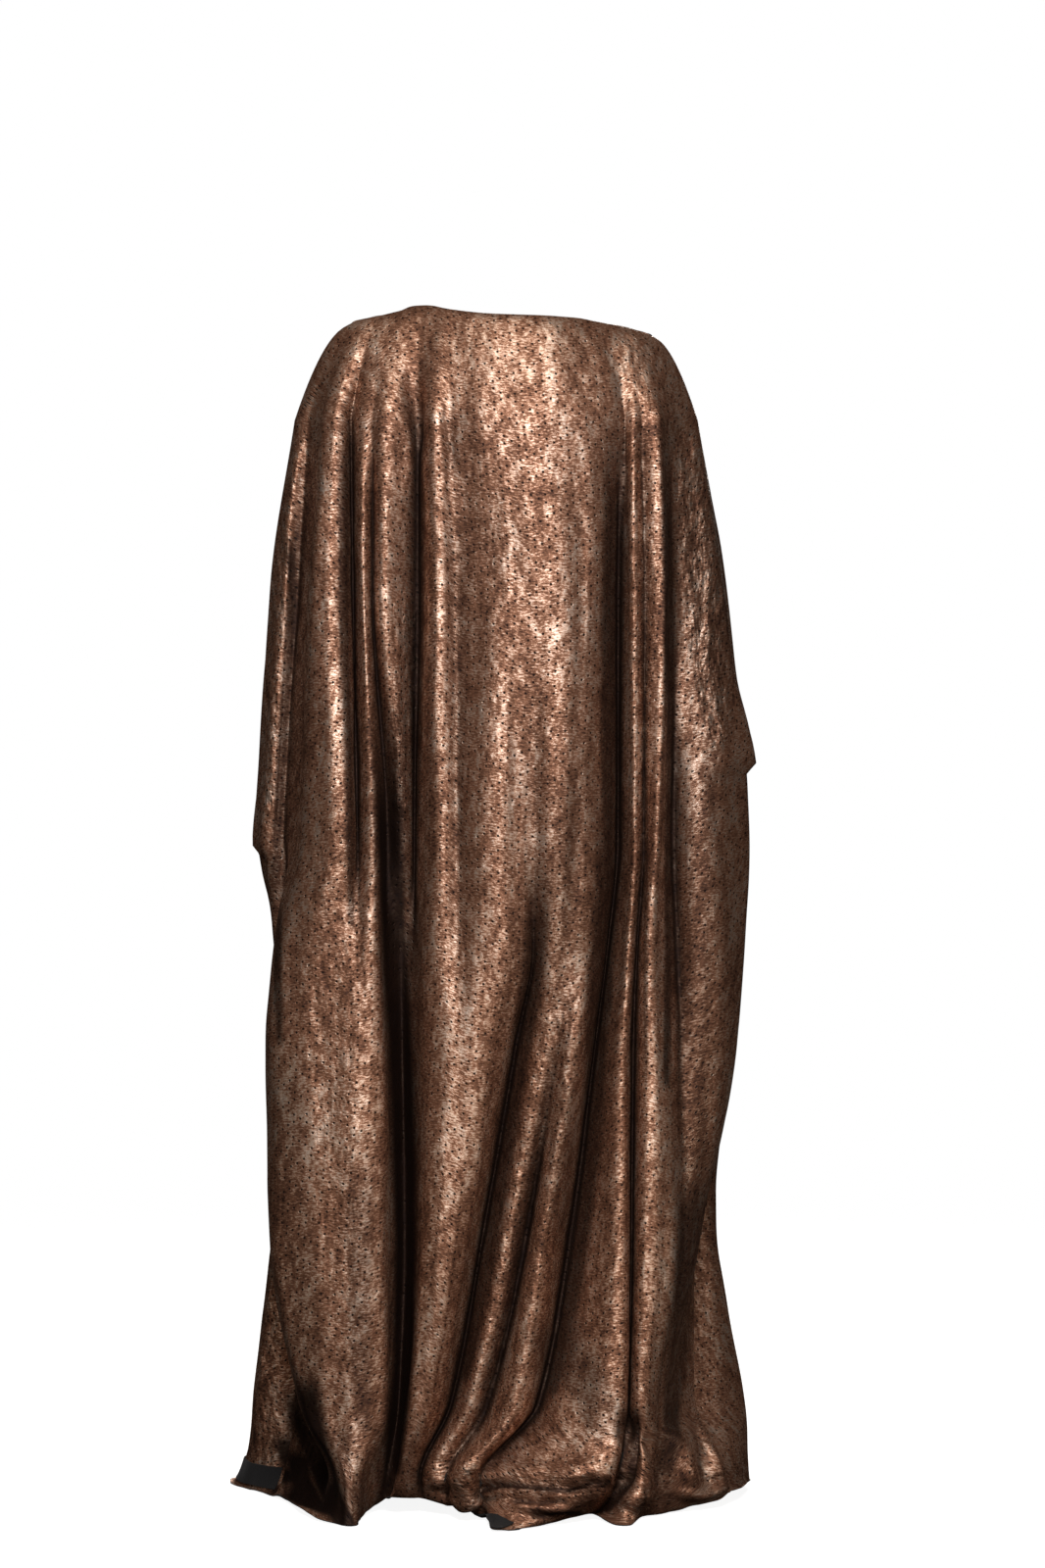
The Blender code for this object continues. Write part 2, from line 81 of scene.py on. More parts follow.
# Back panel, a row for each fold from the left side seam to the right one.
# name, top edge (across, depth, height), then across and depth at each station, hem lift
BACK = (
    ("left seam", (-182, 0, 1412),
     (-246, -276, -290, -268, -262, -258, -248, -258, -277),
     (5, 10, 15, 34, 52, 58, 50, 42, 35), 0),
    ("left sleeve", (-177, -6, 1416),
     (-238, -256, -272, -268, -266, -260, -244, -246, -250),
     (-18, -24, -16, 2, 24, 32, 25, 12, -28), 0),
    ("left groove", (-174, -8, 1418),
     (-226, -240, -256, -256, -255, -247, -222, -206, -233),
     (-26, -22, -14, -2, 2, 8, 2, -34, -92), 0),
    ("left roll edge", (-166, -9, 1420),
     (-214, -228, -243, -268, -279, -274, -238, -196, -209),
     (-46, -52, -46, -50, -50, -56, -80, -128, -136), 0),
    ("left roll", (-156, -10, 1422),
     (-203, -213, -220, -240, -247, -243, -218, -183, -190),
     (-68, -84, -92, -92, -97, -101, -112, -148, -152), 0),
    ("left roll crest", (-148, -10, 1424),
     (-187, -188, -184, -200, -200, -198, -192, -176, -177),
     (-72, -86, -106, -108, -112, -119, -122, -153, -162), 0),
    ("left hollow", (-140, -10, 1425),
     (-176, -174, -168, -166, -163, -164, -163, -168, -170),
     (-58, -54, -84, -111, -120, -123, -128, -150, -161), 0),
    ("left pleat", (-130, -10, 1427),
     (-161, -160, -150, -150, -145, -143, -139, -158, -165),
     (-80, -93, -104, -113, -117, -117, -120, -128, -138), 0),
    ("left valley side", (-117, -10, 1431),
     (-149, -150, -133, -134, -130, -129, -130, -147, -158),
     (-78, -74, -70, -74, -78, -80, -86, -98, -98), 4),
    ("left valley rib", (-107, -12, 1435),
     (-135, -136, -115, -117, -116, -113, -120, -134, -147),
     (-92, -94, -80, -62, -55, -55, -66, -80, -70), 8),
    ("left valley", (-93, -18, 1436),
     (-96, -97, -101, -101, -103, -102, -111, -124, -136),
     (-76, -64, -60, -68, -72, -76, -88, -86, -72), 16),
    ("blade pleat", (-80, -26, 1435),
     (-77, -72, -71, -72, -72, -80, -99, -118, -126),
     (-103, -109, -119, -124, -127, -130, -128, -114, -92), 20),
    ("blade hollow", (-64, -35, 1431),
     (-58, -52, -50, -50, -48, -62, -88, -111, -112),
     (-101, -102, -116, -123, -133, -134, -128, -108, -90), 19),
    ("back", (-26, -51, 1425),
     (-14, 2, -10, -8, -18, -44, -77, -104, -101),
     (-116, -124, -139, -140, -136, -126, -116, -101, -86), 18),
    ("back edge", (-2, -57, 1423),
     (10, 20, 22, 26, 4, -32, -67, -99, -96),
     (-118, -126, -134, -131, -119, -104, -98, -97, -85), 18),
    ("seat valley", (20, -60, 1422),
     (30, 38, 40, 40, 20, -20, -58, -94, -91),
     (-119, -128, -130, -112, -84, -71, -75, -92, -83), 17),
    ("seat pleat", (56, -56, 1421),
     (68, 72, 66, 62, 50, 10, -36, -80, -79),
     (-117, -128, -138, -128, -118, -108, -112, -108, -88), 16),
    ("calf hollow", (76, -50, 1420),
     (90, 95, 88, 80, 66, 31, -16, -62, -60),
     (-112, -120, -130, -126, -120, -88, -94, -106, -88), 15),
    ("calf pleat", (94, -42, 1419),
     (117, 116, 114, 103, 87, 50, 16, -44, -40),
     (-103, -109, -115, -118, -130, -122, -136, -138, -92), 12),
    ("right valley", (114, -30, 1416),
     (142, 140, 140, 129, 114, 84, 45, -24, -12),
     (-86, -70, -61, -58, -56, -56, -78, -120, -122), 6),
    ("right valley side", (122, -24, 1415),
     (148, 149, 149, 143, 130, 112, 84, 41, 2),
     (-80, -80, -76, -82, -84, -92, -124, -152, -196), 0),
    ("right rib", (129, -18, 1414),
     (157, 159, 160, 153, 145, 142, 138, 104, 64),
     (-90, -98, -97, -98, -104, -118, -142, -162, -140), 0),
    ("right hollow", (139, -12, 1413),
     (167, 171, 170, 163, 158, 156, 151, 136, 106),
     (-82, -87, -84, -79, -81, -90, -112, -122, -112), 5),
    ("right pleat", (150, -10, 1411),
     (186, 191, 184, 177, 176, 174, 164, 161, 145),
     (-87, -96, -105, -108, -112, -123, -131, -140, -160), 0),
    ("right pleat side", (157, -10, 1409),
     (197, 200, 195, 194, 194, 200, 179, 174, 168),
     (-68, -75, -83, -88, -102, -110, -119, -130, -112), 0),
    ("right groove", (164, -9, 1407),
     (206, 208, 206, 210, 214, 218, 188, 191, 197),
     (-50, -56, -62, -64, -70, -84, -98, -104, -82), 0),
    ("right roll", (172, -8, 1405),
     (222, 236, 234, 238, 243, 232, 197, 212, 222),
     (-30, -40, -78, -79, -72, -62, -81, -90, -68), 4),
    ("right roll edge", (179, -6, 1402),
     (231, 259, 290, 287, 281, 241, 206, 240, 256),
     (-19, -28, -32, -30, -28, -30, -58, -70, -54), 9),
    ("right seam", (183, 0, 1399),
     (237, 270, 290, 276, 264, 236, 234, 270, 278),
     (5, 10, 18, 34, 50, 46, 6, -36, -26), 17),
)

# Front panel, a row for each fold from the right side seam round to the left one. The seams are
# the back's own.
FRONT = (
    BACK[-1],
    ("right flare", (180, 7, 1402),
     (232, 267, 294, 285, 280, 261, 284, 291, 294),
     (22, 34, 44, 59, 74, 68, 52, 10, 18), 15),
    ("right front groove", (168, 9, 1406),
     (207, 236, 262, 259, 256, 250, 278, 286, 294),
     (48, 52, 62, 75, 88, 96, 118, 128, 140), 5),
    ("right front roll", (150, 10, 1411),
     (184, 205, 222, 224, 226, 228, 244, 250, 262),
     (72, 98, 118, 123, 128, 138, 156, 168, 186), 0),
    ("right front hollow", (136, 12, 1414),
     (158, 168, 176, 177, 178, 182, 192, 196, 204),
     (76, 88, 104, 110, 116, 128, 142, 156, 172), 0),
    ("right bust", (112, 26, 1410),
     (116, 122, 128, 130, 132, 136, 140, 142, 148),
     (98, 140, 158, 162, 166, 172, 180, 190, 214), 0),
    ("right front valley", (84, 52, 1388),
     (86, 84, 84, 85, 86, 88, 90, 92, 94),
     (100, 126, 134, 135, 136, 138, 146, 158, 176), 0),
    ("right breast pleat", (52, 74, 1366),
     (52, 46, 44, 44, 44, 46, 48, 50, 52),
     (110, 144, 160, 165, 170, 178, 190, 200, 222), 0),
    ("front valley", (14, 84, 1356),
     (14, 8, 4, 3, 2, 0, -2, -2, -4),
     (112, 134, 142, 144, 146, 148, 156, 168, 188), 0),
    ("left breast pleat", (-24, 76, 1362),
     (-26, -36, -42, -44, -46, -50, -54, -56, -60),
     (110, 146, 164, 169, 174, 182, 194, 204, 226), 0),
    ("left front valley", (-58, 54, 1386),
     (-66, -78, -84, -87, -90, -96, -102, -104, -108),
     (100, 128, 136, 137, 138, 140, 146, 156, 174), 0),
    ("left bust", (-92, 26, 1418),
     (-104, -116, -126, -130, -134, -142, -150, -154, -160),
     (96, 138, 156, 160, 164, 172, 182, 192, 214), 0),
    ("left front hollow", (-126, 12, 1429),
     (-156, -164, -172, -176, -180, -190, -198, -204, -212),
     (74, 90, 106, 111, 116, 126, 138, 148, 168), 0),
    ("left front roll", (-150, 10, 1423),
     (-186, -204, -222, -227, -232, -242, -252, -258, -270),
     (72, 98, 120, 126, 132, 146, 160, 170, 190), 0),
    ("left front groove", (-168, 9, 1419),
     (-212, -240, -260, -261, -262, -270, -285, -296, -318),
     (48, 58, 70, 83, 96, 112, 128, 138, 166), 0),
    ("left flare", (-177, 7, 1415),
     (-242, -273, -290, -276, -268, -276, -299, -307, -333),
     (22, 32, 40, 59, 78, 82, 84, 94, 130), 0),
    ("left skirt", (-180, 4, 1414),
     (-244, -274, -291, -272, -264, -268, -282, -287, -310),
     (12, 20, 26, 44, 62, 64, 61, 62, 84), 0),
    BACK[0],
)

# Where the folds start under the shoulders.
# first fold, last fold, width of the folds that are left out, start height, height where they are full
BACK_STARTS = (
    ("left seam", "right seam", 26, 1385, 1300),
    ("left pleat", "left valley rib", 13, 1290, 1215),
    ("calf hollow", "right seam", 26, 1350, 1235),
)
FRONT_STARTS = (
    ("right seam", "left seam", 26, 1385, 1270),
)
FADE_COLUMNS = 5.0            # over how many columns this fades out beside the named folds

# Creases of the back, as they are seen from 5.5 m behind the garment at the height of the hips.
# name, height of the ridge (a trough is negative), half width, then (across, height) along it
EYE = (27.0, -5500.0, 1000.0)
BACK_CREASES = (
    ("neck end trough", -6, 7, ((-113, 1362), (-101, 1317), (-94, 1253))),
    ("neck end ridge", 3, 7, ((-112, 1335), (-108, 1276), (-114, 1194))),
    ("blade crease", -3, 6, ((-70, 1318), (-61, 1291), (-56, 1230))),
    ("right shoulder crease", -3, 9, ((124, 1398), (146, 1356), (152, 1300))),
    ("sleeve crease", 3.5, 4,
     ((-247, 1341), (-264, 1300), (-275, 1241), (-282, 1170), (-284, 1100))),
    ("second sleeve crease", 3.5, 4,
     ((-239, 1321), (-254, 1282), (-264, 1223), (-270, 1147), (-271, 1053))),
    ("third sleeve crease", 3.5, 5,
     ((-226, 1300), (-242, 1253), (-251, 1182), (-256, 1100), (-258, 1006))),
    ("sweeping roll", 7, 9, ((-19, 62), (-34, 46), (-56, 31), (-92, 22))),
    ("puddle crest", 11, 14, ((-66, 14), (3, 31), (50, 32), (91, 31), (124, 45), (142, 68))),
    ("puddle trough", -8, 7, ((-56, 5), (3, 19), (50, 17), (91, 15), (128, 29))),
    ("lip ridge", 10, 6, ((-94, 4), (-45, 3), (-8, 11), (25, 13), (69, 11), (97, 4))),
    ("lip trough", -6, 6, ((8, 3), (40, 1), (78, 1))),
    ("lower lip ridge", 9, 6, ((8, -5), (35, -9), (62, -9), (95, -3))),
    ("edge trough", -5, 5, ((34, -15), (91, -17))),
    ("hem strip ridge", 12, 8, ((-62, 8), (-40, 7), (-18, -6), (-2, -22), (16, -27))),
    ("floor rim", 7, 6, ((-318, 24), (-282, 8), (-244, -12), (-190, -24))),
    ("pocket trough", -13, 13, ((156, 113), (161, 66), (155, 36), (135, 7))),
    ("pocket ridge", 9, 12, ((146, 84), (149, 45), (132, 25), (106, -5))),
    ("pocket crease", -6, 8, ((170, 84), (184, 60), (191, 10))),
    ("pocket fold", 5, 7, ((164, 78), (176, 54), (182, 13))),
    ("pillow ridge", 8, 13, ((153, -10), (170, 7), (186, 7))),
    ("pillow trough", -5, 9, ((176, -7), (153, -20))),
    ("right flare ridge", 9, 12, ((200, 96), (222, 52), (235, 7))),
    ("right flare trough", -8, 10, ((236, 110), (246, 56), (250, 9))),
    ("right flare edge", 8, 9, ((252, 90), (268, 44), (288, 16))),
    ("right flare fold", -6, 8, ((270, 84), (286, 40))),
    ("right floor ridge", 8, 8, ((206, 14), (238, 8), (276, 18))),
)

# Creases of the front, which isn't seen: they are like those of the back, from 5.5 m in front of it.
FRONT_EYE = (0.0, 5500.0, 1000.0)
FRONT_CREASES = (
    ("left breast pull", -4, 14, ((-92, 1210), (-60, 1150), (-34, 1060))),
    ("right breast pull", -4, 14, ((96, 1205), (66, 1140), (44, 1040))),
    ("left cuff pull", 4, 11, ((-262, 860), (-232, 950), (-200, 1040))),
    ("right cuff pull", 4, 11, ((262, 950), (238, 1040), (200, 1120))),
    ("waist crease", 4, 12, ((-150, 980), (-110, 930), (-60, 900))),
    ("second waist crease", 4, 12, ((160, 960), (120, 905), (70, 880))),
    ("hip trough", -4, 14, ((-40, 760), (-70, 640), (-110, 520))),
    ("knee ridge", 5, 13, ((30, 560), (70, 440), (96, 300))),
    ("knee trough", -5, 12, ((-20, 480), (-60, 360), (-84, 240))),
    ("shin ridge", 5, 12, ((150, 420), (168, 300), (176, 180))),
    ("hem trough", -6, 11, ((-150, 240), (-120, 130), (-70, 60))),
    ("hem ridge", 7, 10, ((-110, 150), (-60, 70), (10, 30))),
    ("second hem ridge", 7, 10, ((60, 140), (100, 70), (150, 30))),
    ("floor ridge", 8, 9, ((-190, 16), (-110, -6), (-40, -10))),
    ("floor trough", -6, 8, ((-60, 4), (20, -4), (90, 0))),
    ("second floor ridge", 8, 9, ((70, -8), (140, -10), (200, 8))),
)

CREASE_FADE = 0.3             # share of a crease's length over which it dies out at each end
CREASE_END = 0.12             # where on that slope its very end is
CREASE_TURN = 1.6             # how soon it is whole on cloth that turns to the back or the front

# Slow unevenness of worn cloth: its seed, then (height, width across, length down) of each layer
BACK_RIPPLE = (3.7, ((2.2, 46, 150), (1.0, 20, 60)))
FRONT_RIPPLE = (11.3, ((2.4, 46, 150), (1.0, 20, 60)))

# Rows below the top edge and columns beside the seams over which a change grows from nothing
START_STILL = (0.5, 14.0)
CREASE_STILL = (6.0, 5.0)

# Painted shade, as it is seen from behind: the film's colour is darkened deep between the folds, along
# some creases and over some broad areas.
# name, half width, how dark, then (across, height) along it
BACK_PAINTED_SHADE = (
    ("sleeve hollow", 6, 0.9, ((-250, 1170), (-249, 1120), (-246, 1070), (-247, 1020))),
    ("left groove", 8, 0.75,
     ((-225, 1300), (-227, 1268), (-248, 1082), (-259, 928), (-269, 771), (-264, 560))),
    ("left pleat hollow", 7, 0.75, ((-184, 1340), (-187, 1290), (-187, 1056), (-182, 865), (-178, 700))),
    ("blade hollow", 8, 0.7,
     ((-120, 1380), (-112, 1320), (-100, 1281), (-98, 1184), (-98, 993), (-102, 771))),
    ("right blade hollow", 10, 0.75,
     ((150, 1320), (147, 1287), (135, 1236), (131, 1082), (129, 928), (130, 600))),
    ("right pleat hollow", 4, 0.5, ((172, 1250), (172, 1100), (174, 800), (176, 500))),
    ("right groove", 7, 0.8, ((193, 1330), (197, 1281), (202, 1121), (205, 928), (202, 700), (200, 500))),
    ("right sleeve shade", 26, 0.42,
     ((226, 1330), (240, 1160), (248, 1040), (240, 900), (234, 560), (232, 420))),
    ("hip shade", 20, 0.3, ((76, 900), (78, 820), (78, 600), (72, 400), (70, 330))),
    ("shin shade", 17, 0.5, ((-170, 430), (-170, 330), (-168, 200), (-166, 90))),
    ("hem shade", 32, 0.5, ((56, 230), (76, 180), (100, 150), (132, 105))),
    ("left valley", 19, 1.0,
     ((-136, 1010), (-130, 720), (-120, 560), (-113, 330), (-116, 170), (-130, 40))),
    ("calf valley", 14, 0.7, ((60, 820), (53, 761), (36, 615), (7, 431), (-14, 293), (-44, 155))),
    ("second calf valley", 7, 0.6, ((78, 600), (70, 559), (34, 385), (8, 247), (-19, 137))),
    ("third calf valley", 16, 0.7, ((136, 900), (131, 760), (119, 615), (110, 431), (86, 248), (62, 137))),
    ("right roll shadow", 15, 0.8, ((238, 420), (222, 240), (208, 130), (200, 40))),
    ("hem pocket", 22, 1.0, ((-244, 170), (-232, 100), (-218, 50), (-200, 0), (-186, -26))),
    ("hem pocket front", 16, 1.0, ((-244, 70), (-240, 26), (-222, -2))),
    ("hem pocket floor", 12, 1.0, ((-262, 18), (-240, 6), (-220, -4), (-196, -12))),
    ("hem band shade", 13, 1.0, ((-284, 36), (-270, 34), (-246, 30))),
    ("left corner shade", 24, 0.5, ((-198, 100), (-184, 40), (-170, -14))),
    ("left flank shade", 26, 0.3, ((-262, 560), (-256, 420), (-240, 260), (-226, 160))),
    ("puddle top shade", 26, 0.5, ((104, 84), (122, 96), (136, 90))),
    ("puddle line", 6, 0.9, ((-60, 4), (3, 18), (50, 16), (91, 14), (126, 27))),
    ("lip line", 4, 0.8, ((8, 3), (40, 1), (78, 1))),
    ("edge line", 5, 0.8, ((30, -14), (60, -17), (96, -14))),
    ("pocket line", 9, 0.9, ((158, 120), (161, 66), (156, 36), (140, 4), (130, -8))),
)
# painted shade of the front's hem pocket, where it is seen from behind
FRONT_PAINTED_SHADE = (
    ("hem pocket", 22, 1.0, ((-238, 150), (-236, 90), (-232, 30), (-206, -10))),
    ("hem pocket mouth", 20, 1.0, ((-256, 90), (-252, 60), (-242, 36), (-222, 12))),
    ("hem pocket floor", 12, 1.0, ((-286, 14), (-262, 6), (-236, -2), (-210, -14))),
)

# Where the cloth is crumpled small, as seen from behind: name, half width, how much, (across, height)
BACK_CRUMPLES = (
    ("right sleeve", 32, 1.0, ((236, 1330), (244, 1180), (250, 1040), (258, 930))),
    ("left sleeve", 17, 0.9, ((-232, 1330), (-262, 1220), (-272, 1080), (-276, 940), (-280, 820))),
    ("speckled rib", 15, 0.8, ((-108, 1120), (-112, 980), (-118, 840))),
    ("right ribs", 20, 0.7, ((168, 1280), (168, 1050), (164, 800), (160, 560))),
    ("right shoulder", 30, 0.5, ((130, 1400), (176, 1360), (215, 1290))),
    ("calf folds", 46, 0.6, ((80, 700), (40, 430), (0, 200), (-30, 60))),
    ("left roll", 46, 0.4, ((-196, 900), (-200, 500), (-190, 200))),
)
FRONT_CRUMPLES = (
    ("left front piece", 30, 0.9, ((-270, 300), (-282, 150), (-290, 20))),
)
EVEN_CRUMPLE = 0.22           # how crumpled the rest is

# Where the hem lies in a heap and is crumpled across, in the same way
BACK_HEAPS = (
    ("hem puddle", 34, 0.9, ((-110, 20), (0, 26), (100, 24), (160, 20))),
    ("right flare", 42, 1.0, ((236, 130), (252, 80), (262, 10))),
    ("left hem corner", 30, 1.2, ((-300, 20), (-240, 0))),
)
# Height below which the front's hem does so, height where it would be whole, and the most of it
FRONT_HEAP = (30.0, -10.0, 0.7)

# How such places fade towards their edges and their start
AREA_WIDTHS = (1.1, 0.6)      # shares of its half width that it has at its start and at its end
AREA_EDGES = (0.6, 1.5)       # shares of that where it starts to fade, and is gone
AREA_FADE = 0.25              # share of its length over which it comes up
AREA_START = 0.15             # where on that slope its very start is

# Painted shade down in the folds: how dark the cloth's colour is made, by its depth below their middle and
# its height
FORM_SPREAD = 45.0            # folds narrower than this don't count in the form of the whole
TUCK_SPREADS = ((28.0, 1.0), (11.0, 2.2))    # widths of folds looked at, and how much they count
TUCK_DEPTHS = (-1.0, 11.0)    # depths where the shade starts, and is full
TUCK_HEIGHTS = (1385.0, 1255.0)    # heights below which it starts, and is full
TUCK_EDGE = 4                 # columns beside the seams that take their neighbour's depth
FORM_SHARES = (0.15, 1.5)     # how much of the hollows shows at the sides, and how fast it grows
SIDE_TURN = 0.2               # the front's cloth shows from behind where it faces forward less than this

# Pieces of hem turned to the outside, which lie on a panel's face where it runs out on the floor.
# the solid it stands for, first and last fold and how far inside them it ends (share of a span),
# then where it starts and ends between the skirt's end (0) and the hem (1)
LEFT_TURN = ("left_hem_turn", "left front groove", "left seam", 0.12, 0.135, 0.62)
BACK_TURN = ("back_hem_turn", "calf pleat", "right valley side", 0.0, 0.62, 0.985)
TURN_LIFT = 1.0               # clear space between the turned hem and the panel


# The form of the cloth

def mix(a, b, share):
    return a + (b - a) * share


def ease(share):
    share = np.clip(share, 0.0, 1.0)
    return share * share * (3.0 - 2.0 * share)


def grown(value, ends):
    """Share from 0 at the first end to 1 at the second."""
    return ease((value - ends[0]) / (ends[1] - ends[0]))


def along(places, values, place):
    """Value at a place on a smooth line through values, which never overshoots them."""
    if place >= places[0]:
        return values[0]
    if place <= places[-1]:
        return values[-1]
    slopes = [(values[i + 1] - values[i]) / (places[i + 1] - places[i]) for i in range(len(values) - 1)]
    lean = [slopes[0]]
    for before, after in zip(slopes, slopes[1:]):
        lean.append(0.0 if before * after <= 0 else 2.0 * before * after / (before + after))
    lean.append(slopes[-1])
    i = next(k for k in range(len(values) - 1) if place >= places[k + 1])
    width = places[i + 1] - places[i]
    t = (place - places[i]) / width
    return ((2 * t ** 3 - 3 * t ** 2 + 1) * values[i] + (t ** 3 - 2 * t ** 2 + t) * width * lean[i]
            + (-2 * t ** 3 + 3 * t ** 2) * values[i + 1] + (t ** 3 - t ** 2) * width * lean[i + 1])


def through(points, steps):
    """Smooth curve through the points, with its own number of steps to the next point for each.
    It runs full and round over a fold, and tightens into the valley between two of them."""
    knots = [0.0]
    for a, b in zip(points, points[1:]):
        knots.append(knots[-1] + max(1e-4, (b - a).length) ** 0.5)
    leans = []
    for i, here in enumerate(points):
        if i == 0:
            leans.append((points[1] - here) / (knots[1] - knots[0]))
        elif i == len(points) - 1:
            leans.append((here - points[-2]) / (knots[-1] - knots[-2]))
        else:
            before = (here - points[i - 1]) / (knots[i] - knots[i - 1])
            after = (points[i + 1] - here) / (knots[i + 1] - knots[i])
            turn = before.normalized().cross(after.normalized()).z
            first, second = knots[i + 1] - knots[i], knots[i] - knots[i - 1]
            if turn > 0:
                first *= STEEP_SHARE + before.normalized().x ** 2
                second *= STEEP_SHARE + after.normalized().x ** 2
                full = 1.0 + FOLD_ROUND * min(1.0, FOLD_TURN * turn)
            else:
                full = 1.0 - VALLEY_TIGHT * float(grown(-turn, VALLEY_TURNS))
            leans.append((before * first + after * second) * (full / (first + second)))
    curve = [points[0]]
    for i, count in enumerate(steps):
        width = knots[i + 1] - knots[i]
        for k in range(1, count + 1):
            t = k / count
            curve.append(points[i] * (2 * t ** 3 - 3 * t ** 2 + 1)
                         + leans[i] * ((t ** 3 - 2 * t ** 2 + t) * width)
                         + points[i + 1] * (-2 * t ** 3 + 3 * t ** 2)
                         + leans[i + 1] * ((t ** 3 - t ** 2) * width))
    return curve


def corner(height, top, size):
    """How far a sleeve corner stands out at a height: it grows down to the cuff and stops there."""
    if height < top:
        return 0.0
    return size * (1.0 - float(ease((height - top) / CORNER_REACH)))


def cuff_gape(height, cuff):
    """Share of the full spread of an arm opening at a height."""
    top, bottom = cuff
    if not bottom < height < top:
        return 0.0
    return math.sin(math.pi * (top - height) / (top - bottom)) ** CUFF_ROUND


def fold_place(folds, i, height, front):
    """Across and depth of a fold at a height, with the sleeve corners and the arm openings."""
    across = along(STATIONS, folds[i][2], height)
    depth = along(STATIONS, folds[i][3], height)
    order = min(i, len(folds) - 1 - i)
    side = 1.0 if folds[i][1][0] > 0 else -1.0
    cuff = LEFT_CUFF if side < 0 else RIGHT_CUFF
    if order < len(CORNER_SHARE):
        stand = LEFT_CORNER if side < 0 else RIGHT_CORNER
        across += side * CORNER_SHARE[order] * corner(height, cuff[0], stand)
    if front and order < len(CUFF_SHARE):
        depth += CUFF_SPREAD * CUFF_SHARE[order] * cuff_gape(height, cuff)
    return across, depth


def row_heights():
    """Heights of the level rows, from the chest down to where the skirt meets the floor."""
    upper = round((CHEST_HEIGHT - KNEE_HEIGHT) / UPPER_ROW)
    lower = round((KNEE_HEIGHT - SKIRT_END) / LOWER_ROW)
    return ([mix(CHEST_HEIGHT, KNEE_HEIGHT, k / upper) for k in range(upper)]
            + [mix(KNEE_HEIGHT, SKIRT_END, k / lower) for k in range(lower + 1)])


def cloth_rows(folds, steps, front):
    """The outer face of a panel in metres, rows from the top edge down to the hem."""
    rows = []
    for k in range(SHOULDER_ROWS):
        share = (k / SHOULDER_ROWS) ** ROW_CROWDING
        turn = share ** SHOULDER_ROUND
        row = []
        for i, fold in enumerate(folds):
            across, depth = fold_place(folds, i, CHEST_HEIGHT, front)
            row.append(Vector((mix(fold[1][0], across, turn), mix(fold[1][1], depth, turn),
                               mix(fold[1][2], CHEST_HEIGHT, share))))
        rows.append(row)
    for height in row_heights():
        rows.append([Vector((*fold_place(folds, i, height, front), height)) for i in range(len(folds))])
    for k in range(1, FLOOR_ROWS + 1):
        share = k / FLOOR_ROWS
        row = []
        for i, fold in enumerate(folds):
            start = fold_place(folds, i, SKIRT_END, front)
            end = fold_place(folds, i, 0.0, front)
            rest = FLOOR_CLEAR + fold[4]
            row.append(Vector((mix(start[0], end[0], share), mix(start[1], end[1], share),
                               rest + (SKIRT_END - rest) * (1.0 - share) ** FLOOR_ROUND)))
        rows.append(row)
    grid = np.array([[tuple(p) for p in through(row, steps)] for row in rows])
    grid[..., 2] -= SHOULDER_HEIGHT
    return grid * MM


def outward(grid, before, after):
    """Outward direction at each point; at a side seam the next panel's cloth counts as a neighbour."""
    wide = np.concatenate([before[:, None], grid, after[:, None]], axis=1)
    across = wide[:, 2:] - wide[:, :-2]
    tall = np.concatenate([grid[:1], grid, grid[-1:]], axis=0)
    up = tall[:-2] - tall[2:]
    facing = np.cross(across, up)
    sides = (grid[0, :, 0] <= NECK[0] * MM) | (grid[0, :, 0] >= NECK[1] * MM)
    facing[0, sides, 1] = 0.0
    return facing / np.maximum(np.linalg.norm(facing, axis=2, keepdims=True), 1e-12)


def seen_from(grid, eye):
    """Where each point is seen, across and height in millimetres, in the plane through the shoulders."""
    x, y, z = grid[..., 0] / MM, grid[..., 1] / MM, grid[..., 2] / MM + SHOULDER_HEIGHT
    share = -eye[1] / (y - eye[1])
    return np.stack([eye[0] + (x - eye[0]) * share, eye[2] + (z - eye[2]) * share], axis=-1)


def nearest_on(places, line):
    """For each place the nearest spot of a line: how far along, how far away, and the line's length."""
    line = np.array(line, dtype=float)
    lengths = np.linalg.norm(np.diff(line, axis=0), axis=1)
    best = np.full(places.shape[:2], 1e9)
    spot = np.zeros(places.shape[:2])
    run = 0.0
    for start, end, length in zip(line, line[1:], lengths):
        t = np.clip(((places - start) @ (end - start)) / length ** 2, 0.0, 1.0)
        apart = np.linalg.norm(places - (start + t[..., None] * (end - start)), axis=2)
        spot = np.where(apart < best, run + t * length, spot)
        best = np.minimum(best, apart)
        run += length
    return spot, best, lengths.sum()


def crease_heights(places, creases):
    """Sum of the soft ridges and troughs at each place; each one dies out towards both its ends."""
    total = np.zeros(places.shape[:2])
    for name, rise, half, line in creases:
        spot, apart, reach = nearest_on(places, line)
        fade = ease(np.minimum(spot, reach - spot) / (CREASE_FADE * reach) + CREASE_END)
        total += rise * np.exp(-(apart / half) ** 2) * fade
    return total


def spread_along(places, areas):
    """How much of an area's effect each place gets, from 0 to 1, fading in along its line."""
    most = np.zeros(places.shape[:2])
    for name, half, much, line in areas:
        spot, apart, reach = nearest_on(places, line)
        wide = half * mix(*AREA_WIDTHS, spot / reach)
        start = ease(spot / (AREA_FADE * reach) + AREA_START)
        here = much * (1.0 - grown(apart / wide, AREA_EDGES)) * start
        most = np.maximum(most, here)
    return most


def ripple(grid, layers):
    """Height of the slow unevenness at each point."""
    seed, sizes = layers
    total = np.zeros(grid.shape[:2])
    for rise, wide, tall in sizes:
        spots = grid / MM / np.array((wide, wide, tall)) + seed
        flat = [noise.noise(Vector(p)) for p in spots.reshape(-1, 3)]
        total += rise * np.array(flat).reshape(total.shape)
    return total


